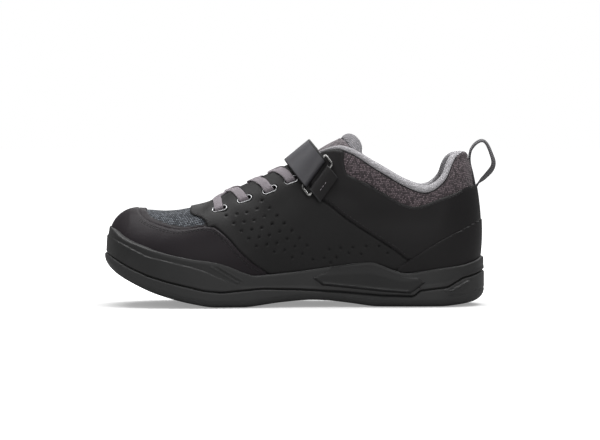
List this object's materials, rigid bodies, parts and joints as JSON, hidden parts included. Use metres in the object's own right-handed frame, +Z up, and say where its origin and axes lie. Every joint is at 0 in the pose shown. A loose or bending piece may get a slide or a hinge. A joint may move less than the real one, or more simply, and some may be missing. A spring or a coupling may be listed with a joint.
{
  "type": "mountain bike shoe",
  "caption": "Low mountain bike shoe with a cup sole, toe cap, laced throat, turn-back strap through a wire ring, padded collar and heel pull loop.",
  "frame": {"origin": "on the ground under the middle of the shoe's box", "axes": "+Z up from the sole, +X towards the heel, +Y towards the outer side of the foot"},
  "size_m": [0.3087, 0.1055, 0.1336],
  "materials": {
    "outsole_rubber": "matt moulded rubber",
    "cup_rubber": "matt moulded rubber",
    "footbed": "cloth-covered foam",
    "upper_knit": "grey knit",
    "overlay_leather": "black synthetic leather, low sheen",
    "tongue_knit": "grey padded knit",
    "lace_weave": "flat woven lace",
    "eyelet_metal": "dark metal",
    "strap_leather": "dark synthetic leather",
    "ring_metal": "black plated wire",
    "loop_webbing": "woven webbing"
  },
  "bodies": {
    "root": {"outsole": "outsole_rubber", "midsole": "cup_rubber", "insole": "footbed", "upper": "upper_knit", "toe_cap": "overlay_leather", "quarter": "overlay_leather", "rear_quarter": "overlay_leather", "heel_counter": "overlay_leather", "tongue": "tongue_knit", "lace_bar_1": "lace_weave", "lace_cross_2": "lace_weave", "lace_cross_3": "lace_weave", "lace_cross_4": "lace_weave", "eyelet_in_1": "eyelet_metal", "eyelet_in_2": "eyelet_metal", "eyelet_in_3": "eyelet_metal", "eyelet_in_4": "eyelet_metal", "eyelet_out_1": "eyelet_metal", "eyelet_out_2": "eyelet_metal", "eyelet_out_3": "eyelet_metal", "eyelet_out_4": "eyelet_metal", "strap": "strap_leather", "ring_tab": "strap_leather", "strap_ring": "ring_metal", "pull_loop": "loop_webbing"}
  },
  "joints": []
}
